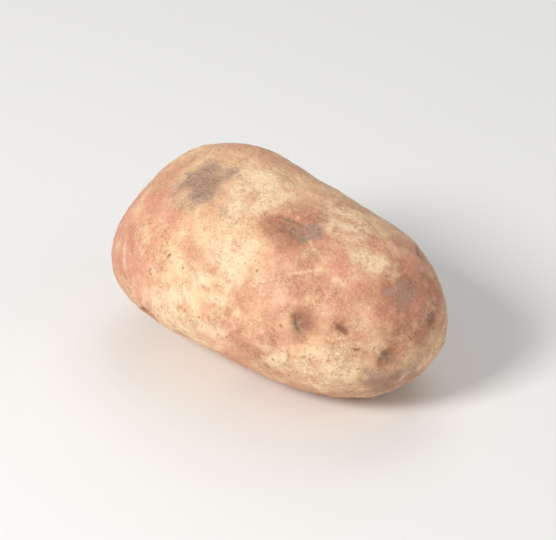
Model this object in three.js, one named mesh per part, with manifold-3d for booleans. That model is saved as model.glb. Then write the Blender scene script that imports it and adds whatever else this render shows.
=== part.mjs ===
// One whole potato, lying on its side on the small flat spot that it rests on.
// Millimetres, +Z up. The long axis runs along X: the stem end, where the tuber hung from the
// plant, is at -X, and the bud end, where its eyes crowd together, is at +X.
// The origin is the middle of the bounding box's underside, in the plane of the flat spot.
import * as THREE from "three";
import { mergeVertices } from "three/addons/utils/BufferGeometryUtils.js";
import Module from "manifold-3d";

// Overall size.
const LENGTH = 100;
const WIDTH = 58;
const HEIGHT = 53;

// The body: fuller than an ellipsoid, a little stouter at the stem end, and slightly bent.
const FULLNESS = 2.2; // exponent of the superellipsoid; 2 is a plain ellipsoid
const STEM_END_STOUTER = 0.05; // share by which the girth grows towards the stem end
const BEND_BACK = 1.2; // how far both ends curve away from the front, along +Y
const BEND_DOWN = 0.4; // how far both ends droop, along -Z
const STEM_END_RAISED = THREE.MathUtils.degToRad(0.5); // how far the long axis tilts
const FLAT_SPOT_DEPTH = 0.9; // how much of the round underside the flat spot takes off

// A place on the skin: along is -1 at the stem end and 1 at the bud end; around is in degrees
// about the long axis, 0 at the top, 90 at the front (-Y), 180 underneath and 270 at the back.
// Broad swellings and, where height is negative, hollows. Spread is in radians.
const SWELLINGS = [
  { along: -0.42, around: 330, height: 3.6, spread: 0.32 },
  { along: 0.18, around: 318, height: -2.6, spread: 0.3 },
  { along: -0.93, around: 20, height: -2.4, spread: 0.3 },
  { along: -0.75, around: 115, height: 2.0, spread: 0.36 },
  { along: -0.25, around: 138, height: -2.8, spread: 0.38 },
  { along: 0.72, around: 160, height: 2.2, spread: 0.42 },
  { along: 0.85, around: 290, height: -1.4, spread: 0.3 },
  { along: 0.4, around: 235, height: 1.2, spread: 0.4 },
  { along: -0.4, around: 262, height: -1.0, spread: 0.35 },
];

// Soft oval dents. The turn, in degrees, is from lengthwise towards the back over the top.
const DENTS = [
  { along: 0.22, around: 19, depth: 0.75, halfLength: 8.5, halfWidth: 4.2, turn: -6 },
  { along: -0.02, around: 62, depth: 0.35, halfLength: 7.0, halfWidth: 3.0, turn: 35 },
  { along: 0.72, around: 55, depth: 0.35, halfLength: 5.0, halfWidth: 3.0, turn: -40 },
  { along: -0.6, around: 48, depth: 0.4, halfLength: 8.0, halfWidth: 4.0, turn: 60 },
  { along: 0.05, around: 268, depth: 0.6, halfLength: 9.0, halfWidth: 4.5, turn: 20 },
  { along: 0.55, around: 222, depth: 0.45, halfLength: 7.0, halfWidth: 3.5, turn: -30 },
  { along: -0.55, around: 250, depth: 0.45, halfLength: 8.0, halfWidth: 4.0, turn: 50 },
  { along: -0.3, around: 175, depth: 0.4, halfLength: 9.0, halfWidth: 5.0, turn: 0 },
  { along: 0.35, around: 340, depth: 0.4, halfLength: 6.0, halfWidth: 3.0, turn: 70 },
];
const DENT_REACH = 2.5; // in half-lengths: no dent goes through to the other side of the tuber

// Eyes: a pit wider than it is long, with a brow, the ridge on its stem side that curls round it.
// They climb the tuber in a spiral and crowd together at the bud end. The turn, in degrees, is from
// a brow that lies straight across the tuber, and stretch is how long the brow is for its size.
const EYE_HALF_WIDTH = 5.0;
const EYE_HALF_LENGTH = 3.4;
const EYE_DEPTH = 1.7;
const EYE_REACH = 15; // no eye changes the skin further away than about this
const BROW_HEIGHT = 0.5;
const BROW_OFFSET = 3.3; // from the middle of the pit towards the stem end
const BROW_THICKNESS = 1.8;
const BROW_CURL = 0.05; // how fast the brow's two ends turn towards the bud end, per mm
const EYES = [
  { along: -0.66, around: 285, size: 0.8, turn: 20, stretch: 0.9 },
  { along: -0.52, around: 118, size: 0.75, turn: -15, stretch: 0.8 },
  { along: -0.36, around: 216, size: 0.85, turn: 10, stretch: 1.1 },
  { along: -0.12, around: 300, size: 1.0, turn: -25, stretch: 1.0 },
  { along: 0.04, around: 142, size: 0.95, turn: 15, stretch: 1.1 },
  { along: 0.2, around: 20, size: 1.15, turn: -84, stretch: 1.35 },
  { along: 0.34, around: 252, size: 1.05, turn: 5, stretch: 1.2 },
  { along: 0.485, around: 72, size: 1.05, turn: 28, stretch: 0.85 },
  { along: 0.62, around: 186, size: 0.85, turn: -20, stretch: 1.0 },
  { along: 0.7, around: 318, size: 0.95, turn: 25, stretch: 1.1 },
  { along: 0.86, around: 96, size: 0.9, turn: -30, stretch: 0.8 },
  { along: 0.88, around: 228, size: 0.75, turn: 30, stretch: 0.85 },
  { along: 0.97, around: 10, size: 0.7, turn: -10, stretch: 0.8 },
];

// The scar where the tuber hung from its stolon: a small round pit inside a raised rim.
const SCAR_PIT_RADIUS = 3.8;
const SCAR_PIT_DEPTH = 2.0;
const SCAR_RIM_RADIUS = 5.9;
const SCAR_RIM_WIDTH = 2.5;
const SCAR_RIM_HEIGHT = 0.6;

const SPHERE_DETAIL = 16; // an icosahedron's edges are each cut into one more than this
const SLAB_MARGIN = 10; // how far the slab that cuts the flat spot reaches past the tuber
const SKIN_COLOUR = 0xd9a66c;
const SKIN_ROUGHNESS = 0.6;

const HALF_SIZE = new THREE.Vector3(LENGTH / 2, WIDTH / 2, HEIGHT / 2);
const BUDWARDS = new THREE.Vector3(1, 0, 0);
const STEMWARDS = new THREE.Vector3(-1, 0, 0);

const bell = (distance, width) => Math.exp(-((distance / width) ** 2));

// The unit direction of a place on the skin.
function directionOf({ along, around }) {
  const angle = THREE.MathUtils.degToRad(around);
  const girth = Math.sqrt(1 - along * along);
  return new THREE.Vector3(along, -girth * Math.sin(angle), girth * Math.cos(angle));
}

// The plain ellipsoid's outward normal, along which every swelling, hollow and pit is measured.
function outward(direction) {
  return direction.clone().divide(HALF_SIZE).normalize();
}

// The smooth body, before its swellings and eyes.
function bodyPoint(direction) {
  const powers = direction.toArray().map((part) => Math.abs(part) ** FULLNESS);
  const radius = (powers[0] + powers[1] + powers[2]) ** (-1 / FULLNESS);
  const point = direction.clone().multiplyScalar(radius).multiply(HALF_SIZE);
  const along = point.x / HALF_SIZE.x;
  point.y *= 1 - STEM_END_STOUTER * along;
  point.z *= 1 - STEM_END_STOUTER * along;
  point.y += BEND_BACK * along * along;
  point.z -= BEND_DOWN * along * along;
  return point;
}

function swellingHeight(direction) {
  let height = 0;
  for (const swelling of SWELLINGS) {
    const farness = 1 - direction.dot(directionOf(swelling));
    height += swelling.height * Math.exp(-farness / swelling.spread ** 2);
  }
  return height;
}

// A mark's middle on the body, and the two directions across it, turned from lengthwise.
function frameOf(mark) {
  const direction = directionOf(mark);
  const normal = outward(direction);
  const first = BUDWARDS.clone().addScaledVector(normal, -normal.x).normalize();
  first.applyAxisAngle(normal, THREE.MathUtils.degToRad(mark.turn));
  return { mark, centre: bodyPoint(direction), first, second: normal.clone().cross(first) };
}

const eyeFrames = EYES.map(frameOf);
const dentFrames = DENTS.map(frameOf);

function eyeHeight(point) {
  let height = 0;
  for (const { mark, centre, first, second } of eyeFrames) {
    const offset = point.clone().sub(centre).divideScalar(mark.size);
    const u = offset.dot(first);
    const v = offset.dot(second) / mark.stretch;
    const across = bell(v, EYE_HALF_WIDTH) * bell(offset.length(), EYE_REACH);
    const pit = EYE_DEPTH * bell(u, EYE_HALF_LENGTH);
    const brow = BROW_HEIGHT * bell(u + BROW_OFFSET - BROW_CURL * v * v, BROW_THICKNESS);
    height += mark.size * across * (brow - pit);
  }
  return height;
}

function dentHeight(point) {
  let height = 0;
  for (const { mark, centre, first, second } of dentFrames) {
    const offset = point.clone().sub(centre);
    if (offset.length() < DENT_REACH * mark.halfLength) {
      const u = offset.dot(first) / mark.halfLength;
      const v = offset.dot(second) / mark.halfWidth;
      height -= mark.depth * bell(Math.hypot(u, v), 1);
    }
  }
  return height;
}

const scarCentre = bodyPoint(STEMWARDS);

function scarHeight(point) {
  const reach = point.distanceTo(scarCentre);
  const rim = SCAR_RIM_HEIGHT * bell(reach - SCAR_RIM_RADIUS, SCAR_RIM_WIDTH);
  return rim - SCAR_PIT_DEPTH * bell(reach, SCAR_PIT_RADIUS);
}

// The point of the finished skin that lies in a given direction.
function skinPoint(direction) {
  const point = bodyPoint(direction);
  const marks = eyeHeight(point) + dentHeight(point) + scarHeight(point);
  return point.addScaledVector(outward(direction), swellingHeight(direction) + marks);
}

// Keeps positions only and merges the shared vertices, so that the mesh is closed.
function closedGeometry(geometry) {
  geometry.deleteAttribute("normal");
  geometry.deleteAttribute("uv");
  return mergeVertices(geometry);
}

function roundTuber() {
  const geometry = closedGeometry(new THREE.IcosahedronGeometry(1, SPHERE_DETAIL));
  const position = geometry.getAttribute("position");
  const direction = new THREE.Vector3();
  for (let i = 0; i < position.count; i++) {
    direction.fromBufferAttribute(position, i).normalize();
    position.setXYZ(i, ...skinPoint(direction).toArray());
  }
  geometry.rotateY(STEM_END_RAISED);
  return geometry;
}

// Scales the tuber to its overall size, with the plane of the flat spot at z = 0.
function fitToSize(geometry) {
  geometry.computeBoundingBox();
  const size = geometry.boundingBox.getSize(new THREE.Vector3());
  const middle = geometry.boundingBox.getCenter(new THREE.Vector3());
  geometry.translate(-middle.x, -middle.y, -geometry.boundingBox.min.z);
  geometry.scale(LENGTH / size.x, WIDTH / size.y, (HEIGHT + FLAT_SPOT_DEPTH) / size.z);
  geometry.translate(0, 0, -FLAT_SPOT_DEPTH);
  return geometry;
}

const wasm = await Module();
wasm.setup();

function solidOf(geometry) {
  const vertProperties = new Float32Array(geometry.getAttribute("position").array);
  const triVerts = new Uint32Array(geometry.getIndex().array);
  return new wasm.Manifold(new wasm.Mesh({ numProp: 3, vertProperties, triVerts }));
}

// Cuts away what lies below z = 0, which leaves the flat spot.
function cutFlatSpot(geometry) {
  const thickness = FLAT_SPOT_DEPTH + SLAB_MARGIN;
  const slab = new THREE.BoxGeometry(LENGTH + 2 * SLAB_MARGIN, WIDTH + 2 * SLAB_MARGIN, thickness);
  slab.translate(0, 0, -thickness / 2);
  const rested = solidOf(geometry).subtract(solidOf(closedGeometry(slab)));
  const { vertProperties, triVerts } = rested.getMesh();
  return new THREE.BufferGeometry()
    .setAttribute("position", new THREE.BufferAttribute(vertProperties, 3))
    .setIndex(new THREE.BufferAttribute(triVerts, 1));
}

const skin = new THREE.MeshStandardMaterial({
  color: SKIN_COLOUR,
  roughness: SKIN_ROUGHNESS,
  metalness: 0,
});
const tuber = new THREE.Mesh(cutFlatSpot(fitToSize(roundTuber())), skin);
tuber.geometry.computeVertexNormals();
tuber.name = "potato";

const potato = new THREE.Group();
potato.add(tuber);
export default potato;
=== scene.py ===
"""The looks of one whole potato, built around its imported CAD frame. Blender 4.5.

The scene is in metres, +Z up, in the CAD part's own frame: the stem end is at -X, the bud end at +X,
and the flat spot that the potato rests on is at z = 0. The skin is worked out in millimetres, from the
same body, swellings, eyes and dents as the CAD solid, and is then given the small relief of a real
tuber.
"""
import math

import bpy
import numpy as np
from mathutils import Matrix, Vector, noise


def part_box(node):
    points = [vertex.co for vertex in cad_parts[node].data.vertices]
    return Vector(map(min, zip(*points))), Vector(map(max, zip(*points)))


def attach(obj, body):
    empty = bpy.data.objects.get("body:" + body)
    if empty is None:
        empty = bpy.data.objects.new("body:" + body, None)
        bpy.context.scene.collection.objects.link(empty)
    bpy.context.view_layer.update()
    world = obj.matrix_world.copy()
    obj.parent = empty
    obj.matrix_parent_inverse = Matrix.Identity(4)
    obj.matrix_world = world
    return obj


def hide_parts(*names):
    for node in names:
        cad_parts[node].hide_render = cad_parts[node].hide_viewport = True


MM = 0.001
SEED = 23
GOLDEN_ANGLE = math.pi * (3 - math.sqrt(5))
CLOUD_STEP = (3.7, 11.3, 7.1)  # how far one seed's noise lies from the next one's
CLOUD_FADE = 1.0  # how fast the finer octaves of the noise get weaker
CLOUD_GROWTH = 2.0  # how much finer each octave is than the one before

# ---------------------------------------------------------------- the body, as in the CAD part
FULLNESS = 2.2
STEM_END_STOUTER = 0.05
BEND_BACK = 1.2
BEND_DOWN = 0.4
STEM_END_RAISED = math.radians(0.5)
FLAT_SPOT_DEPTH = 0.9
FLAT_SPOT_SOFTNESS = 0.6  # how gently the round underside runs into the flat spot
BUDWARDS = np.array((1.0, 0, 0))
STEMWARDS = -BUDWARDS

# A place on the skin is along, -1 at the stem end and 1 at the bud end, and around, in degrees about
# the long axis: 0 at the top, 90 at the front (-Y), 180 underneath and 270 at the back.
# Each swelling: along, around, height, spread in radians.
SWELLINGS = [
    (-0.42, 330, 3.6, 0.32),
    (0.18, 318, -2.6, 0.30),
    (-0.93, 20, -2.4, 0.30),
    (-0.75, 115, 2.0, 0.36),
    (-0.25, 138, -2.8, 0.38),
    (0.72, 160, 2.2, 0.42),
    (0.85, 290, -1.4, 0.30),
    (0.40, 235, 1.2, 0.40),
    (-0.40, 262, -1.0, 0.35),
]

# Each eye: along, around, size, turn of its brow in degrees, length of its brow for its size.
# With no turn the brow lies across the tuber, on the stem side of the buds.
EYES = [
    (-0.66, 285, 0.80, 20, 0.9),
    (-0.52, 118, 0.75, -15, 0.8),
    (-0.36, 216, 0.85, 10, 1.1),
    (-0.12, 300, 1.00, -25, 1.0),
    (0.04, 142, 0.95, 15, 1.1),
    (0.20, 20, 1.15, -84, 1.35),
    (0.34, 252, 1.05, 5, 1.2),
    (0.485, 72, 1.05, 28, 0.85),
    (0.62, 186, 0.85, -20, 1.0),
    (0.70, 318, 0.95, 25, 1.1),
    (0.86, 96, 0.90, -30, 0.8),
    (0.88, 228, 0.75, 30, 0.85),
    (0.97, 10, 0.70, -10, 0.8),
]
EYE_REACH = 15.0
EYE_DEPTH = 1.7
EYE_HALF_WIDTH = 5.0
EYE_STEEP_SIDE = 2.5  # half-length of the pit under the brow
EYE_GENTLE_SIDE = 4.6  # half-length of the pit towards the bud end
EYE_WOBBLE = 0.45  # how far noise shifts the brow, the crease and the buds
EYE_DUST = 0.5
BROW_OFFSET = 3.0
BROW_CURL = 0.07
BROW_THICKNESS = 1.3
BROW_HALF_LENGTH = 5.4
BROW_HEIGHT = 0.6
CREASE_OFFSET = 1.9  # the thin dark line under the brow, left by a scale leaf
CREASE_WIDTH = 0.36
CREASE_HALF_LENGTH = 3.9
CREASE_DEPTH = 0.26
CREASE_DUST = 0.4

# Each bud: along the eye, across it, radius, height.
BUDS = [
    (-0.3, 0.1, 1.0, 0.62),
    (0.2, -1.7, 0.6, 0.28),
    (0.5, 1.8, 0.55, 0.25),
    (1.2, 0.4, 0.5, 0.15),
]

GATHER_WIDTH = 7.0  # the grid is drawn together this far round each eye and the stem scar
GATHER_SHARE = 0.5

SCAR_PIT_RADIUS = 3.8
SCAR_PIT_DEPTH = 2.0
SCAR_RIM_RADIUS = 5.9
SCAR_RIM_WIDTH = 2.5
SCAR_RIM_HEIGHT = 0.6
STUB_RADIUS = 1.5  # what is left of the stolon, in the middle of the scar
STUB_HEIGHT = 1.1
SCAR_FOLDS = 9  # fine folds that run out from the scar
SCAR_FOLD_HEIGHT = 0.16
SCAR_FOLD_SWAY = 0.8  # keeps the folds from being evenly spaced
SCAR_CRACK_RADIUS = 2.9  # a fine broken crack round the stub
SCAR_CRACK_WIDTH = 0.45
SCAR_CRACK_DEPTH = 0.25
SCAR_CRACK_BREAKS = (-0.35, 0.5)  # the crack is gone where the noise is below the first
SCAR_CRACK_COLOUR = 0.5
SCAR_CORK = 0.65
SCAR_DUST = 0.4

# Each dent: along, around, depth, half-length, half-width, turn in degrees from lengthwise.
DENTS = [
    (0.22, 19, 0.75, 8.5, 4.2, -6),
    (-0.02, 62, 0.35, 7.0, 3.0, 35),
    (0.72, 55, 0.35, 5.0, 3.0, -40),
    (-0.60, 48, 0.40, 8.0, 4.0, 60),
    (0.05, 268, 0.60, 9.0, 4.5, 20),
    (0.55, 222, 0.45, 7.0, 3.5, -30),
    (-0.55, 250, 0.45, 8.0, 4.0, 50),
    (-0.30, 175, 0.40, 9.0, 5.0, 0),
    (0.35, 340, 0.40, 6.0, 3.0, 70),
]
DENT_REACH = 2.5  # in half-lengths: no dent goes through to the other side of the tuber

# Each nick, healed over with brown cork: the same values.
NICKS = [
    (0.66, 69, 0.30, 2.4, 0.9, -28),
    (0.74, 84, 0.15, 0.9, 0.6, 10),
    (-0.32, 62, 0.10, 0.9, 0.5, 65),
    (-0.48, 325, 0.20, 2.0, 0.6, 30),
    (0.45, 300, 0.25, 2.6, 0.7, -55),
    (-0.80, 255, 0.20, 1.8, 0.7, 15),
    (0.20, 205, 0.25, 2.8, 0.8, 80),
    (-0.15, 150, 0.20, 1.6, 0.5, -20),
]

# ---------------------------------------------------------------- the fine relief, in millimetres
CELLS_ALONG = 184  # faces from end to end on each of the four long sides of the grid
CELLS_AROUND = 104  # faces across each long side, and across both ends each way
MERGE_DIGITS = 6  # grid points that agree to this many decimals are one point

# Each layer of unevenness: size of its features, height.
UNEVENNESS = [(17.0, 0.52), (7.0, 0.23), (2.6, 0.09), (1.2, 0.055)]

# The scattered marks: how many, smallest and largest radius, greatest height.
LENTICELS = (480, (0.28, 0.60), 0.16)
LENTICEL_PORE_DEPTH = 1.1  # in heights of the blister round it
LENTICEL_PORE_RADIUS = 0.45  # in radii of the blister
SCABS = (13, (0.5, 1.5), 0.18)
SCAB_RAGGEDNESS = 0.9
CRUMBS = (520, (0.30, 0.85), 0.22)
DOME_RADIUS = 0.9  # of a scab's or a crumb's dome, in radii of its mark
SPOT_STRENGTH = (0.15, 1.0)
SPOT_REACH = 3.0  # in radii: a spot changes nothing further away
SPOT_SHAKE = 0.9  # how far spots stray from even spacing
SCUFF_COUNT = 34
SCUFF_LENGTH = (3.0, 11.0)
SCUFF_HALF_WIDTH = (0.35, 1.1)
SCUFF_DEPTH = 0.07
SCUFF_CURVE = 0.012
SCUFF_WOBBLE = 0.3
SCUFF_SOFTNESS = 0.6  # the share of its half-width over which a scuff deepens
SCUFF_EDGE = 0.4  # width of the soft raised edge along a scuff
SCUFF_EDGE_SHARE = 0.6

# The noise that shakes the edges of eyes and scuffs, and of the ragged spots: its size and seed.
WOBBLE_SIZE = 2.2
WOBBLE_SEED = 31
SPOT_EDGE_SEED = 41
SPOT_EDGE_OCTAVES = 2
STAIN_EDGE_SIZE = 6.0
STAIN_FADE = (0.4, 1.6)  # in radii: a stain is full inside the first and gone outside the second

# Each patch on the skin, stains and some painted shade and highlights, as said at each list: along,
# around, radius, strength.
# Soil patches. The two at the bud end, at along 0.83 and 0.86, are painted shade on that end; the rest
# are soil.
SOIL_AND_SHADE_PATCHES = [
    (-0.36, 18, 8.6, 1.0),
    (0.31, 18, 3.8, 0.95),
    (0.83, 24, 4.5, 0.7),
    (0.86, 128, 7.0, 0.75),
    (-0.62, 150, 9.0, 0.6),
    (0.30, 200, 12.0, 0.7),
    (-0.45, 240, 8.0, 0.6),
    (0.55, 285, 9.0, 0.65),
    (-0.92, 60, 7.0, 0.6),
    (-0.05, 255, 6.0, 0.4),
]

BLUSH_PATCHES = [
    (0.55, 34, 13.0, 0.9),
    (0.32, 82, 9.0, 0.7),
    (-0.62, 60, 15.0, 0.75),
    (-0.78, 76, 12.0, 1.0),
    (-0.58, 84, 7.5, 1.0),
    (0.05, 100, 10.0, 0.45),
    (0.83, 10, 12.0, 1.0),
    (-0.30, 320, 14.0, 0.5),
    (0.30, 160, 15.0, 0.6),
    (-0.50, 200, 15.0, 0.6),
    (0.45, 270, 16.0, 0.7),
]

# Tan patches. Those at the bud end, from along 0.8 on, are painted shade that darkens that end, and the
# three along the groove at around 19 are painted shade in the groove; the rest are tan stains.
TAN_AND_SHADE_PATCHES = [
    (0.80, 16, 6.5, 1.0),
    (0.82, 32, 7.0, 0.85),
    (0.93, 45, 9.0, 0.9),
    (0.90, 345, 9.0, 0.8),
    (0.12, 21, 4.5, 0.85),
    (0.22, 19, 6.5, 1.0),
    (0.32, 19, 5.5, 1.0),
    (0.42, 47, 5.5, 0.6),
    (0.47, 72, 4.5, 1.0),
    (0.66, 69, 2.4, 0.9),
    (0.86, 102, 5.0, 1.0),
    (0.86, 140, 8.0, 0.8),
    (-0.70, 75, 6.0, 0.5),
    (0.30, 110, 5.0, 0.6),
    (-0.60, 300, 9.0, 0.7),
    (0.15, 230, 9.0, 0.6),
    (-0.95, 200, 9.0, 0.7),
    (0.60, 255, 8.0, 0.7),
    (0.0, 180, 12.0, 0.6),
]

# Cream patches. Those on the top and the front, at around 0 to 104, are painted highlight where the
# light falls brightest; the rest are pale skin.
CREAM_AND_HIGHLIGHT_PATCHES = [
    (-0.15, 88, 11.0, 1.0),
    (0.42, 100, 7.0, 1.0),
    (0.60, 104, 9.0, 1.0),
    (-0.08, 8, 9.0, 1.0),
    (0.42, 0, 7.0, 0.9),
    (0.63, 15, 4.5, 1.0),
    (0.02, 48, 9.0, 0.75),
    (-0.30, 103, 7.5, 1.0),
    (-0.20, 290, 12.0, 0.7),
    (0.75, 240, 10.0, 0.7),
    (-0.70, 330, 9.0, 0.6),
]

# Each kind of patch, stains with painted shade and highlights among them: its mark, its places, how
# ragged its edges are, and their seed.
STAIN_AND_PAINTED_LIGHT_PLACES = [
    ("soil_and_shade", SOIL_AND_SHADE_PATCHES, 0.7, 11),
    ("blush", BLUSH_PATCHES, 0.7, 12),
    ("cream", CREAM_AND_HIGHLIGHT_PATCHES, 0.9, 13),
    ("tan", TAN_AND_SHADE_PATCHES, 0.9, 14),
]

# ---------------------------------------------------------------- the studio, in metres
FLOOR_HALF_WIDTH = 4.0
CAMERA_AZIMUTH = 36
CAMERA_ELEVATION = 33
CAMERA_DISTANCE = 0.62
CAMERA_LENS = 150
CAMERA_CLIP_START = 0.01

# Each soft light: name, azimuth, elevation, distance, side, power, colour.
LIGHTS = [
    ("key", -14, 38, 1.0, 0.32, 7.9, (1.0, 0.98, 0.95)),
    ("fill", 100, 30, 1.3, 0.9, 1.9, (1.0, 0.99, 0.97)),
    ("back", 200, 55, 1.2, 0.8, 3.0, (1.0, 1.0, 1.0)),
]
SKY_COLOUR = (1.0, 1.0, 1.0, 1.0)
SKY_STRENGTH = 0.34

# ---------------------------------------------------------------- the frame
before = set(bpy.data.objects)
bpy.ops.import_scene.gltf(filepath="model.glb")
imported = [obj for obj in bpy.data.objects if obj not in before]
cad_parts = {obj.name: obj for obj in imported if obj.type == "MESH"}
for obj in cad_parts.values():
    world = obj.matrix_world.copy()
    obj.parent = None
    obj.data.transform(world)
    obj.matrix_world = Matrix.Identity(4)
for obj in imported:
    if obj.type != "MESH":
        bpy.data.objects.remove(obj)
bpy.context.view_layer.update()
LOW, HIGH = (np.array(corner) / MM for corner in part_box("potato"))
HALF_SIZE = (HIGH - LOW) / 2


# ---------------------------------------------------------------- small helpers
def bell(distance, width):
    return np.exp(-((distance / width) ** 2))


def smooth_step(value, low, high):
    t = np.clip((value - low) / (high - low), 0, 1)
    return t * t * (3 - 2 * t)


def unit(vectors):
    return vectors / np.linalg.norm(vectors, axis=-1, keepdims=True)


def cloud(points, size, seed, octaves=3):
    """Smooth random values from about -1 to 1, with features of about size millimetres."""
    shift = Vector(CLOUD_STEP) * seed
    places = [Vector(point) / size + shift for point in points]
    return np.array([noise.fractal(place, CLOUD_FADE, CLOUD_GROWTH, octaves) for place in places])


# ---------------------------------------------------------------- the grid of directions
def grid_faces(columns, rows, first):
    """Four corner numbers for each cell of a grid whose first point has the number first."""
    i, j = np.meshgrid(np.arange(columns), np.arange(rows), indexing="ij")
    corner = (first + i * (rows + 1) + j).ravel()
    return np.stack([corner, corner + rows + 1, corner + rows + 2, corner + 1], 1)


def cube_side(outward):
    """Directions and cells of one side of a cube, spaced so that they lie evenly on a sphere."""
    is_end = outward[0] != 0
    across = np.array((0, 1, 0)) if is_end else np.array((1, 0, 0))
    columns = CELLS_AROUND if is_end else CELLS_ALONG
    u = np.tan(np.linspace(-1, 1, columns + 1) * math.pi / 4)
    v = np.tan(np.linspace(-1, 1, CELLS_AROUND + 1) * math.pi / 4)
    u, v = np.meshgrid(u, v, indexing="ij")
    grid = outward + u[..., None] * across + v[..., None] * np.cross(outward, across)
    return unit(grid.reshape(-1, 3)), columns


def sphere_grid():
    """Unit directions and four-sided faces of one closed grid, with its edges merged."""
    points, faces, count = [], [], 0
    for outward in np.array([(1, 0, 0), (-1, 0, 0), (0, 1, 0), (0, 0, 1), (0, -1, 0), (0, 0, -1)]):
        side, columns = cube_side(outward)
        points.append(side)
        faces.append(grid_faces(columns, CELLS_AROUND, count))
        count += len(side)
    points = np.concatenate(points)
    rounded = points.round(MERGE_DIGITS)
    _, first, where = np.unique(rounded, axis=0, return_index=True, return_inverse=True)
    return points[first], where.reshape(-1)[np.concatenate(faces)]


# ---------------------------------------------------------------- the body
def direction_of(along, around):
    angle = math.radians(around)
    girth = math.sqrt(1 - along * along)
    return np.array([along, -girth * math.sin(angle), girth * math.cos(angle)])


def outward_of(directions):
    return unit(directions / HALF_SIZE)


def body_points(directions):
    radius = (np.abs(directions) ** FULLNESS).sum(-1, keepdims=True) ** (-1 / FULLNESS)
    points = directions * radius * HALF_SIZE
    along = points[..., 0] / HALF_SIZE[0]
    points[..., 1:] *= (1 - STEM_END_STOUTER * along)[..., None]
    points[..., 1] += BEND_BACK * along * along
    points[..., 2] -= BEND_DOWN * along * along
    return points


def gathered(directions):
    """The grid drawn together round the eyes and the stem scar, where the skin is most detailed."""
    body = body_points(directions)
    pull = np.zeros_like(directions)
    for centre in [direction_of(along, around) for along, around, *_ in EYES] + [STEMWARDS]:
        near = bell(np.linalg.norm(body - body_points(centre), axis=1), GATHER_WIDTH)
        pull += GATHER_SHARE * near[:, None] * (centre - directions)
    return unit(directions + pull)


def swelling_height(directions):
    height = np.zeros(len(directions))
    for along, around, rise, spread in SWELLINGS:
        farness = 1 - directions @ direction_of(along, around)
        height += rise * np.exp(-farness / spread**2)
    return height


class Skin:
    """The skin's points, how far each is raised, and how strongly each mark shows there."""

    MARKS = ("eye", "cork", "bud", "lenticel", "scab", "scuff", "soil_and_shade", "blush", "tan", "cream")

    def __init__(self):
        directions, self.faces = sphere_grid()
        self.directions = gathered(directions)
        self.body = body_points(self.directions)
        self.outward = outward_of(self.directions)
        self.height = swelling_height(self.directions)
        self.wobble = cloud(self.body, WOBBLE_SIZE, WOBBLE_SEED)
        self.marks = {name: np.zeros(len(self.body)) for name in self.MARKS}
        self.random = np.random.default_rng(SEED)

    def mark(self, name, strength):
        """Marks the skin wherever this is stronger than what is there."""
        self.marks[name] = np.maximum(self.marks[name], strength)

    def offsets(self, direction, turn=0.0):
        """How far each point is from a place, along a line turned from lengthwise and across it."""
        normal = outward_of(direction)
        lengthwise = unit(BUDWARDS - normal[0] * normal)
        sideways = np.cross(normal, lengthwise)
        offset = self.body - body_points(direction)
        u = offset @ (math.cos(turn) * lengthwise + math.sin(turn) * sideways)
        v = offset @ (math.cos(turn) * sideways - math.sin(turn) * lengthwise)
        return u, v, np.linalg.norm(offset, axis=1)

    def scattered(self, count):
        """Directions spread evenly over the tuber, then shaken."""
        number = np.arange(count) + 0.5
        height = 1 - 2 * number / count
        girth = np.sqrt(1 - height**2)
        angle = number * GOLDEN_ANGLE
        even = np.stack([girth * np.cos(angle), girth * np.sin(angle), height], 1)
        return unit(even + self.random.normal(0, SPOT_SHAKE / math.sqrt(count), even.shape))

    def near(self, direction, reach):
        """The numbers of the points within reach of a place, and their distances from it."""
        offset = self.body - body_points(direction)
        found = np.flatnonzero((np.abs(offset) < reach).all(1))
        return found, np.linalg.norm(offset[found], axis=1)


# ---------------------------------------------------------------- eyes, stem scar and dents
def add_eye(skin, along, around, size, turn, length):
    u, v, reach = (part / size for part in skin.offsets(direction_of(along, around), math.radians(turn)))
    near = bell(reach, EYE_REACH)
    v = v / length
    bent = u - BROW_CURL * v * v + EYE_WOBBLE * skin.wobble
    pit = bell(u, np.where(u < 0, EYE_STEEP_SIDE, EYE_GENTLE_SIDE)) * bell(v, EYE_HALF_WIDTH) * near
    brow = bell(bent + BROW_OFFSET, BROW_THICKNESS) * bell(v, BROW_HALF_LENGTH) * near
    crease = bell(bent + CREASE_OFFSET, CREASE_WIDTH) * bell(v, CREASE_HALF_LENGTH) * near
    height = BROW_HEIGHT * brow - EYE_DEPTH * pit - CREASE_DEPTH * crease
    for bud_u, bud_v, radius, rise in BUDS:
        bud = bell(np.hypot(u - bud_u, v - bud_v) + EYE_WOBBLE * skin.wobble, radius) * near
        height += rise * bud
        skin.mark("bud", bud)
    skin.height += size * height
    skin.mark("eye", pit)
    skin.mark("cork", crease)
    skin.mark("soil_and_shade", EYE_DUST * pit + CREASE_DUST * crease)


def add_dent(skin, along, around, depth, half_length, half_width, turn):
    """Presses in an oval dent, and gives how strong it is at each point."""
    u, v, reach = skin.offsets(direction_of(along, around), math.radians(turn))
    dent = bell(np.hypot(u / half_length, v / half_width), 1.0) * (reach < DENT_REACH * half_length)
    skin.height -= depth * dent
    return dent


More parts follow.
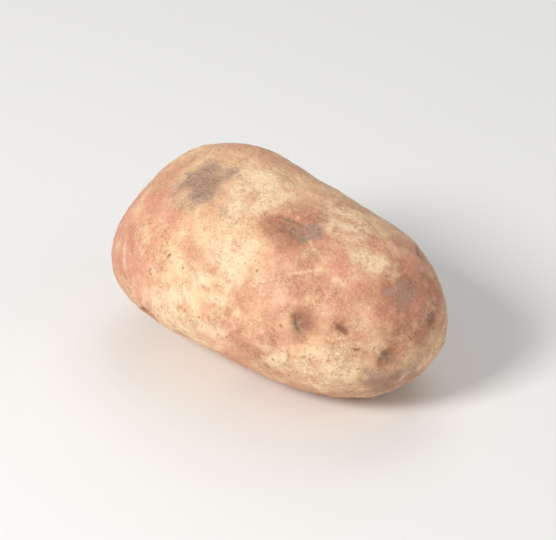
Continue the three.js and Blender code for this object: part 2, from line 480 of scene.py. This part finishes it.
def add_stem_scar(skin):
    offset = skin.body - body_points(STEMWARDS)
    reach = np.linalg.norm(offset, axis=1)
    ragged = reach + EYE_WOBBLE * skin.wobble
    angle = np.arctan2(offset[:, 2], offset[:, 1])
    rim = bell(reach - SCAR_RIM_RADIUS, SCAR_RIM_WIDTH)
    pit = bell(reach, SCAR_PIT_RADIUS)
    stub = bell(ragged, STUB_RADIUS)
    crack = bell(ragged - SCAR_CRACK_RADIUS, SCAR_CRACK_WIDTH)
    crack *= smooth_step(skin.wobble, *SCAR_CRACK_BREAKS)
    folds = np.sin(SCAR_FOLDS * angle + SCAR_FOLD_SWAY * np.sin(2 * angle)) * rim
    skin.height += SCAR_RIM_HEIGHT * rim - SCAR_PIT_DEPTH * pit
    skin.height += STUB_HEIGHT * stub + SCAR_FOLD_HEIGHT * folds - SCAR_CRACK_DEPTH * crack
    skin.mark("eye", pit)
    skin.mark("scab", SCAR_CORK * pit)
    skin.mark("cork", np.maximum(stub, SCAR_CRACK_COLOUR * crack))
    skin.mark("soil_and_shade", SCAR_DUST * pit)


# ---------------------------------------------------------------- scattered marks
def add_spots(skin, name, kind, profile, ragged=0.0, allowed=None):
    """Round marks of one kind, each of its own strength. profile gives their height by radii."""
    count, radii, height = kind
    for direction in skin.scattered(count):
        radius = skin.random.uniform(*radii)
        strength = skin.random.uniform(*SPOT_STRENGTH)
        chance = skin.random.random()
        found, distance = skin.near(direction, SPOT_REACH * radius)
        if not len(found) or (allowed is not None and allowed[found].mean() < chance):
            continue
        edge = cloud(skin.body[found], radius, SPOT_EDGE_SEED, SPOT_EDGE_OCTAVES)
        reach = distance / radius + ragged * edge
        skin.height[found] += height * strength * profile(reach)
        mark = strength * bell(reach, 1.0)
        skin.marks[name][found] = np.maximum(skin.marks[name][found], mark)


def lenticel_profile(reach):
    """A low blister with a pore in the middle."""
    return bell(reach, 1.0) - LENTICEL_PORE_DEPTH * bell(reach, LENTICEL_PORE_RADIUS)


def dome_profile(reach):
    return bell(reach, DOME_RADIUS)


def add_scuffs(skin):
    """Short strokes where the thin skin was rubbed off in handling."""
    for direction in skin.scattered(SCUFF_COUNT):
        turn = skin.random.uniform(0, math.pi)
        length = skin.random.uniform(*SCUFF_LENGTH)
        half_width = skin.random.uniform(*SCUFF_HALF_WIDTH)
        u, v, reach = skin.offsets(direction, turn)
        v += SCUFF_CURVE * u * u + SCUFF_WOBBLE * skin.wobble
        along = bell(u, length / 2) * (reach < length)
        stroke = smooth_step(1 - np.abs(v) / half_width, 0, SCUFF_SOFTNESS) * along
        edge = bell(np.abs(v) - half_width, SCUFF_EDGE) * along
        skin.height += SCUFF_DEPTH * (SCUFF_EDGE_SHARE * edge - stroke)
        skin.mark("scuff", stroke)


def add_stains_and_painted_light(skin, name, places, ragged, seed):
    edge = ragged * cloud(skin.body, STAIN_EDGE_SIZE, seed)
    full, gone = STAIN_FADE
    for along, around, radius, strength in places:
        reach = np.linalg.norm(skin.body - body_points(direction_of(along, around)), axis=1)
        skin.mark(name, strength * smooth_step(gone - reach / radius + edge, 0, gone - full))


def add_unevenness(skin):
    for number, (size, height) in enumerate(UNEVENNESS):
        skin.height += height * cloud(skin.body, size, number + 1)


# ---------------------------------------------------------------- the whole skin
def settled(points):
    """The tuber turned as it lies and brought to the CAD box, with its flat spot at z = 0."""
    cos, sin = math.cos(STEM_END_RAISED), math.sin(STEM_END_RAISED)
    x, y, z = points.T
    points = np.stack([cos * x + sin * z, y, cos * z - sin * x], 1)
    low, high = points.min(0), points.max(0)
    floor = np.array([0, 0, FLAT_SPOT_DEPTH])
    points = (points - low) / (high - low) * (HIGH - LOW + floor) + LOW - floor
    z = points[:, 2] - LOW[2]
    points[:, 2] = (z + np.sqrt(z * z + FLAT_SPOT_SOFTNESS**2)) / 2
    low, high = points[:, 2].min(), points[:, 2].max()
    points[:, 2] = LOW[2] + (points[:, 2] - low) / (high - low) * (HIGH[2] - LOW[2])
    return points


def grown_skin():
    skin = Skin()
    for eye in EYES:
        add_eye(skin, *eye)
    add_stem_scar(skin)
    for dent in DENTS:
        add_dent(skin, *dent)
    for nick in NICKS:
        skin.mark("scab", add_dent(skin, *nick))
    add_unevenness(skin)
    for stain in STAIN_AND_PAINTED_LIGHT_PLACES:
        add_stains_and_painted_light(skin, *stain)
    add_spots(skin, "lenticel", LENTICELS, lenticel_profile)
    add_spots(skin, "scab", SCABS, dome_profile, ragged=SCAB_RAGGEDNESS)
    add_spots(skin, "soil_and_shade", CRUMBS, dome_profile, allowed=skin.marks["soil_and_shade"])
    add_scuffs(skin)
    return skin


def mesh_of(name, points, faces, marks):
    mesh = bpy.data.meshes.new(name)
    mesh.from_pydata((points * MM).tolist(), [], faces.tolist())
    for mark, values in marks.items():
        attribute = mesh.attributes.new(mark, "FLOAT", "POINT")
        attribute.data.foreach_set("value", values.astype(np.float32))
    mesh.shade_smooth()
    return mesh


# ---------------------------------------------------------------- shader helpers
# The Mix node's sockets share their names, so they go by number: under, over and result.
MIX_NUMBERS = (2, 3, 0)
MIX_COLOURS = (6, 7, 2)
NOISE_MIDDLE = 0.5


def linear(red, green, blue):
    """An sRGB colour, given as 0 to 255, as the linear values that a shader takes."""
    shares = [part / 255 for part in (red, green, blue)]
    return [s / 12.92 if s <= 0.04045 else ((s + 0.055) / 1.055) ** 2.4 for s in shares] + [1.0]


class Shader:
    """One material's node tree, with its coordinates in millimetres."""

    def __init__(self, name):
        self.material = bpy.data.materials.new(name)
        self.material.use_nodes = True
        self.tree = self.material.node_tree
        self.surface = self.tree.nodes["Principled BSDF"]
        place = self.tree.nodes.new("ShaderNodeTexCoord").outputs["Object"]
        self.place = self.scaled(place, 1 / MM)

    def plug(self, value, socket):
        """Links another node's output to a socket, or sets a plain value on it."""
        if isinstance(value, bpy.types.NodeSocket):
            self.tree.links.new(value, socket)
        else:
            socket.default_value = value

    def scaled(self, vector, factor):
        node = self.tree.nodes.new("ShaderNodeVectorMath")
        node.operation = "SCALE"
        self.plug(vector, node.inputs[0])
        node.inputs["Scale"].default_value = factor
        return node.outputs[0]

    def moved(self, vector, shift):
        node = self.tree.nodes.new("ShaderNodeVectorMath")
        self.plug(vector, node.inputs[0])
        self.plug(shift, node.inputs[1])
        return node.outputs[0]

    def math(self, operation, a, b=0.0):
        node = self.tree.nodes.new("ShaderNodeMath")
        node.operation = operation
        self.plug(a, node.inputs[0])
        self.plug(b, node.inputs[1])
        return node.outputs[0]

    def times(self, a, b):
        return self.math("MULTIPLY", a, b)

    def plus(self, a, b):
        return self.math("ADD", a, b)

    def mark(self, name):
        node = self.tree.nodes.new("ShaderNodeAttribute")
        node.attribute_name = name
        return node.outputs["Fac"]

    def ragged(self, name, amount, size, detail, shift):
        """A mark whose edges are broken up by noise."""
        noise = self.plus(self.noise(size, detail, shift), -NOISE_MIDDLE)
        return self.plus(self.mark(name), self.times(noise, amount))

    def noise(self, size, detail=3.0, shift=0.0, distortion=0.0):
        """Values about NOISE_MIDDLE, with features of about size millimetres."""
        node = self.tree.nodes.new("ShaderNodeTexNoise")
        self.plug(self.moved(self.place, (shift, shift, shift)), node.inputs["Vector"])
        node.inputs["Scale"].default_value = 1 / size
        node.inputs["Detail"].default_value = detail
        node.inputs["Distortion"].default_value = distortion
        return node.outputs["Fac"]

    def wobbling(self, size, amount):
        """The coordinates, shaken by noise so that patterns lose their straight lines."""
        node = self.tree.nodes.new("ShaderNodeTexNoise")
        self.plug(self.place, node.inputs["Vector"])
        node.inputs["Scale"].default_value = 1 / size
        shaken = self.moved(node.outputs["Color"], [-NOISE_MIDDLE] * 3)
        return self.moved(self.place, self.scaled(shaken, amount))

    def cells(self, size, place, feature="F1"):
        node = self.tree.nodes.new("ShaderNodeTexVoronoi")
        node.feature = feature
        self.plug(place, node.inputs["Vector"])
        node.inputs["Scale"].default_value = 1 / size
        return node

    def between(self, value, low, high):
        """0 below low and 1 above high; the other way round if low is above high."""
        node = self.tree.nodes.new("ShaderNodeMapRange")
        node.interpolation_type = "SMOOTHSTEP"
        self.plug(value, node.inputs["Value"])
        node.inputs["From Min"].default_value = min(low, high)
        node.inputs["From Max"].default_value = max(low, high)
        node.inputs["To Min"].default_value = float(low > high)
        node.inputs["To Max"].default_value = float(low < high)
        return node.outputs["Result"]

    def mixed(self, kind, sockets, under, over, share):
        under_socket, over_socket, result = sockets
        node = self.tree.nodes.new("ShaderNodeMix")
        node.data_type = kind
        self.plug(share, node.inputs["Factor"])
        self.plug(under, node.inputs[under_socket])
        self.plug(over, node.inputs[over_socket])
        return node.outputs[result]

    def cover(self, under, over, share):
        """over laid on under, as strongly as share says. Both are colours."""
        return self.mixed("RGBA", MIX_COLOURS, under, over, share)

    def fade(self, under, over, share):
        """The same for two numbers."""
        return self.mixed("FLOAT", MIX_NUMBERS, under, over, share)


# ---------------------------------------------------------------- the potato's material
CREAM = linear(251, 221, 180)
GOLD = linear(235, 190, 148)
BUFF = linear(217, 164, 128)
ROSE = linear(218, 141, 122)
TAN = linear(176, 116, 88)
ORANGE = linear(206, 141, 106)
RUSSET = linear(160, 108, 72)
CORK = linear(116, 78, 56)
UMBER = linear(84, 58, 46)
# Colours of dried soil, also used as painted shade at two soil patches at the bud end.
DUST_AND_SHADE_COLOUR = linear(162, 138, 120)
SOIL_AND_SHADE_COLOUR = linear(126, 100, 82)
FLOOR_COLOUR = linear(240, 240, 239)
FLOOR_ROUGHNESS = 0.85

# The tables below give the layers of the skin's colour and relief. Each noise is its size in
# millimetres, its octaves and its shift, which makes it unlike the others. A span is the value at
# which a layer starts to show and the value at which it is full. The last number is its strength.

# Clouds of colour on the gold skin, and fine flecks: colour, noise, span, strength.
CLOUDS = [
    (BUFF, (19.0, 4, 0), (0.42, 0.62), 1.0),
    (CREAM, (9.0, 5, 40), (0.48, 0.68), 0.55),
    (ORANGE, (7.0, 5, 120), (0.55, 0.72), 0.5),
    (BUFF, (2.4, 4, 60), (0.50, 0.64), 0.35),
]

FLECKS = [
    (RUSSET, (0.8, 5, 240), (0.52, 0.70), 0.4),
    (CREAM, (0.6, 5, 250), (0.54, 0.72), 0.3),
]

# Stains, with painted shade among the tan and painted highlights among the cream, broken up by noise:
# mark, colour, noise with its distortion, strength.
STAINS_AND_PAINTED_LIGHT = [
    ("blush", ROSE, (5.5, 5, 150, 0.4), 0.75),
    ("tan", TAN, (3.5, 5, 151, 0.4), 0.8),
    ("cream", CREAM, (4.0, 5, 152, 0.4), 0.9),
]
STAIN_BREAKS = (0.31, 0.55)

# Rings of colour that close in on the middle of a mark: colour, span, strength.
LENTICEL_RINGS = [(CREAM, (0.05, 0.3), 0.15), (RUSSET, (0.2, 0.7), 0.65), (CORK, (0.6, 0.95), 0.5)]
SCAB_RINGS = [(CORK, (0.2, 0.75), 0.65)]
EYE_RINGS = [(ORANGE, (0.0, 0.6), 0.6), (TAN, (0.25, 0.9), 0.65), (CORK, (0.6, 1.15), 0.55)]
BUD_RINGS = [(ROSE, (0.5, 1.0), 0.3)]
CREASE_RINGS = [(UMBER, (0.2, 0.9), 0.75)]

# How the edges of a mark are broken up: amount, noise.
SCAB_EDGE = (0.8, 0.7, 3, 280)
EYE_EDGE = (0.8, 1.8, 5, 300)
CREASE_EDGE = (0.7, 0.9, 3, 310)
DUST_EDGE = (1.0, 3.0, 6, 400)
CRUST_EDGE = (1.5, 1.4, 6, 420)

# The russet net, in two sizes: cell size, size and amount of its wobble, width of its threads,
# and the noise and span of the gaps in it.
NETS = [
    (1.9, (1.1, 1.8), 0.14, (1.7, 4, 210), (0.38, 0.56)),
    (0.8, (0.7, 1.2), 0.22, (1.2, 3, 220), (0.42, 0.60)),
]
NET_AREAS = ((8.0, 4, 200), (0.4, 0.62))
NET_COLOUR_SHARE = 0.45
NET_HEIGHT = 0.05

# Pores too small to model: the size of their cells, their radius from full to gone, in cells, and
# the span that picks the cells which have one, by the cell's random value shuffled again.
PORE_CELL = 2.4
PORE_RADIUS = (0.04, 0.12)
PORE_SHUFFLE = 7.0
PORE_CHOICE = (0.5, 0.9)
PORE_COLOUR_SHARE = 0.5
PORE_DEPTH = 0.08

SCUFF_BREAKS = ((1.1, 3, 320), (0.35, 0.5))
SCUFF_COLOUR_SHARE = 0.55

# Dried soil: a thin dust, and a grainy crust where it lies thickest. At the two soil patches at the bud
# end they are painted shade.
SOIL_GRAIN = (0.5, 4, 360)
DUST_SPAN = (0.1, 1.0)
DUST_THINNEST = 0.6
DUST_THICKEST = 0.9
DUST_GRAIN = (0.35, 0.6)
DUST_COLOUR_SHARE = 0.9
CRUST_SPAN = (0.7, 1.3)
CRUST_GRAIN = (0.4, 0.6)
CRUST_COLOUR_SHARE = 0.65
CRUST_HEIGHT = 0.10

# The finish. Roughness is from the smoothest to the roughest clean skin, and on each kind of mark.
SKIN_ROUGHNESS = (0.36, 0.54)
ROUGHNESS_NOISE = ((2.2, 4, 480), (0.3, 0.7))
NET_ROUGHNESS = 0.8
SCUFF_ROUGHNESS = 0.4
SOIL_ROUGHNESS = 0.95
SUBSURFACE = 0.12
SUBSURFACE_RADII = (1.0, 0.45, 0.2)
SUBSURFACE_SCALE = 2.5
SPECULAR = 0.5
IOR = 1.45

# Relief finer than the mesh: its noise and its height in millimetres.
FINE_RELIEF = [((0.35, 3, 510), 0.10), ((0.9, 4, 520), 0.22), ((2.4, 3, 530), 0.30)]


def clouded(s, colour, clouds):
    """A colour with each cloud laid on it where the cloud's noise is high."""
    for over, noise_kind, span, strength in clouds:
        share = s.times(s.between(s.noise(*noise_kind), *span), strength)
        colour = s.cover(colour, over, share)
    return colour


def stained_and_painted_light(s, colour):
    """A colour with the stains on it, and the painted shade and highlights among them, broken up by
    noise.
    """
    for mark, stain, noise_kind, strength in STAINS_AND_PAINTED_LIGHT:
        broken = s.between(s.noise(*noise_kind), *STAIN_BREAKS)
        colour = s.cover(colour, stain, s.times(s.times(s.mark(mark), broken), strength))
    return colour


def ringed(s, colour, value, rings):
    """A colour with rings on it that close in as a value rises towards the middle of its mark."""
    for ring, span, strength in rings:
        colour = s.cover(colour, ring, s.times(s.between(value, *span), strength))
    return colour


def russet_net(s):
    """A fine broken net of raised cork, in two sizes of mesh, on some areas only."""
    net = 0.0
    for cell, wobble, thread, gap_noise, gap_span in NETS:
        edge = s.cells(cell, s.wobbling(*wobble), "DISTANCE_TO_EDGE").outputs["Distance"]
        unbroken = s.between(s.noise(*gap_noise), *gap_span)
        net = s.math("MAXIMUM", net, s.times(s.between(edge, thread, 0.0), unbroken))
    area_noise, area_span = NET_AREAS
    return s.times(net, s.between(s.noise(*area_noise), *area_span))


def pore_dots(s):
    cells = s.cells(PORE_CELL, s.place)
    shuffled = s.math("FRACT", s.times(cells.outputs["Color"], PORE_SHUFFLE))
    chosen = s.between(shuffled, *PORE_CHOICE)
    full, gone = PORE_RADIUS
    return s.times(s.between(cells.outputs["Distance"], gone, full), chosen)


def bare_scuffs(s):
    break_noise, span = SCUFF_BREAKS
    return s.times(s.mark("scuff"), s.between(s.noise(*break_noise), *span))


def dried_soil_and_shade(s):
    """How thickly the dust lies at each point, and the crust on it; at the two soil patches at the bud
    end both are painted shade.
    """
    grain = s.noise(*SOIL_GRAIN)
    dust_and_shade = s.between(s.ragged("soil_and_shade", *DUST_EDGE), *DUST_SPAN)
    crust_and_shade = s.between(s.ragged("soil_and_shade", *CRUST_EDGE), *CRUST_SPAN)
    thickness = s.fade(DUST_THINNEST, DUST_THICKEST, s.between(grain, *DUST_GRAIN))
    return s.times(dust_and_shade, thickness), s.times(crust_and_shade, s.between(grain, *CRUST_GRAIN))


def skin_colour(s, net, pore, bare, dust_and_shade, crust_and_shade):
    colour = stained_and_painted_light(s, clouded(s, GOLD, CLOUDS))
    colour = ringed(s, colour, s.ragged("eye", *EYE_EDGE), EYE_RINGS)
    colour = ringed(s, colour, s.mark("bud"), BUD_RINGS)
    colour = ringed(s, colour, s.ragged("cork", *CREASE_EDGE), CREASE_RINGS)
    colour = s.cover(colour, RUSSET, s.times(net, NET_COLOUR_SHARE))
    colour = clouded(s, colour, FLECKS)
    colour = s.cover(colour, CORK, s.times(pore, PORE_COLOUR_SHARE))
    colour = ringed(s, colour, s.mark("lenticel"), LENTICEL_RINGS)
    colour = ringed(s, colour, s.ragged("scab", *SCAB_EDGE), SCAB_RINGS)
    colour = s.cover(colour, CREAM, s.times(bare, SCUFF_COLOUR_SHARE))
    # Dust and crust of soil; at the two soil patches at the bud end they are painted shade.
    colour = s.cover(colour, DUST_AND_SHADE_COLOUR, s.times(dust_and_shade, DUST_COLOUR_SHARE))
    return s.cover(colour, SOIL_AND_SHADE_COLOUR, s.times(crust_and_shade, CRUST_COLOUR_SHARE))


def skin_roughness(s, net, bare, dust_and_shade):
    noise_kind, span = ROUGHNESS_NOISE
    rough = s.fade(*SKIN_ROUGHNESS, s.between(s.noise(*noise_kind), *span))
    rough = s.fade(rough, NET_ROUGHNESS, net)
    rough = s.fade(rough, SCUFF_ROUGHNESS, bare)
    return s.fade(rough, SOIL_ROUGHNESS, dust_and_shade)


def skin_relief(s, net, pore, crust_and_shade):
    relief = s.times(net, NET_HEIGHT)
    relief = s.plus(relief, s.times(pore, -PORE_DEPTH))
    relief = s.plus(relief, s.times(crust_and_shade, CRUST_HEIGHT))
    for noise_kind, height in FINE_RELIEF:
        relief = s.plus(relief, s.times(s.noise(*noise_kind), height))
    bump = s.tree.nodes.new("ShaderNodeBump")
    bump.inputs["Distance"].default_value = MM
    s.plug(relief, bump.inputs["Height"])
    return bump.outputs["Normal"]


def skin_material():
    s = Shader("potato_skin")
    net = russet_net(s)
    pore = pore_dots(s)
    bare = bare_scuffs(s)
    dust_and_shade, crust_and_shade = dried_soil_and_shade(s)
    s.plug(skin_colour(s, net, pore, bare, dust_and_shade, crust_and_shade), s.surface.inputs["Base Color"])
    s.plug(skin_roughness(s, net, bare, dust_and_shade), s.surface.inputs["Roughness"])
    s.plug(skin_relief(s, net, pore, crust_and_shade), s.surface.inputs["Normal"])
    s.surface.inputs["Subsurface Weight"].default_value = SUBSURFACE
    s.surface.inputs["Subsurface Radius"].default_value = SUBSURFACE_RADII
    s.surface.inputs["Subsurface Scale"].default_value = SUBSURFACE_SCALE * MM
    s.surface.inputs["Specular IOR Level"].default_value = SPECULAR
    s.surface.inputs["IOR"].default_value = IOR
    return s.material


def floor_material():
    material = bpy.data.materials.new("studio_floor")
    material.use_nodes = True
    surface = material.node_tree.nodes["Principled BSDF"]
    surface.inputs["Base Color"].default_value = FLOOR_COLOUR
    surface.inputs["Roughness"].default_value = FLOOR_ROUGHNESS
    return material


# ---------------------------------------------------------------- pieces
def place_object(name, mesh, material):
    obj = bpy.data.objects.new(name, mesh)
    mesh.materials.append(material)
    bpy.context.scene.collection.objects.link(obj)
    return obj


def build_potato():
    skin = grown_skin()
    points = settled(skin.body + skin.height[:, None] * skin.outward)
    mesh = mesh_of("potato_tuber", points, skin.faces, skin.marks)
    tuber = place_object("potato_tuber", mesh, skin_material())
    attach(tuber, "root")
    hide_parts("potato")


def build_floor():
    corners = np.array([(-1, -1, 0), (1, -1, 0), (1, 1, 0), (-1, 1, 0)]) * FLOOR_HALF_WIDTH
    mesh = bpy.data.meshes.new("floor")
    mesh.from_pydata(corners.tolist(), [], [(0, 1, 2, 3)])
    place_object("floor", mesh, floor_material())


# ---------------------------------------------------------------- light and camera
def seen_from(azimuth, elevation, distance, aim):
    """A point at this distance from aim. Azimuth 0 is in front, at -Y, and 90 is at +X."""
    a, e = math.radians(azimuth), math.radians(elevation)
    back = Vector((math.sin(a) * math.cos(e), -math.cos(a) * math.cos(e), math.sin(e)))
    return aim + distance * back


def point_at(obj, aim):
    obj.rotation_euler = (aim - obj.location).to_track_quat("-Z", "Y").to_euler()


def add_softbox(aim, name, azimuth, elevation, distance, side, power, colour):
    lamp = bpy.data.lights.new(name, "AREA")
    lamp.shape = "SQUARE"
    lamp.size = side
    lamp.energy = power
    lamp.color = colour
    obj = bpy.data.objects.new(name, lamp)
    obj.location = seen_from(azimuth, elevation, distance, aim)
    point_at(obj, aim)
    bpy.context.scene.collection.objects.link(obj)


def light_studio(aim):
    for light in LIGHTS:
        add_softbox(aim, *light)
    world = bpy.data.worlds.new("studio")
    world.use_nodes = True
    sky = world.node_tree.nodes["Background"]
    sky.inputs["Color"].default_value = SKY_COLOUR
    sky.inputs["Strength"].default_value = SKY_STRENGTH
    bpy.context.scene.world = world
    bpy.context.scene.view_settings.view_transform = "Standard"


def add_camera(aim):
    lens = bpy.data.cameras.new("camera")
    lens.lens = CAMERA_LENS
    lens.clip_start = CAMERA_CLIP_START
    camera = bpy.data.objects.new("camera", lens)
    camera.location = seen_from(CAMERA_AZIMUTH, CAMERA_ELEVATION, CAMERA_DISTANCE, aim)
    point_at(camera, aim)
    bpy.context.scene.collection.objects.link(camera)
    bpy.context.scene.camera = camera


middle = Vector(((LOW + HIGH) / 2 * MM).tolist())
add_camera(middle)
light_studio(middle)
build_floor()
build_potato()
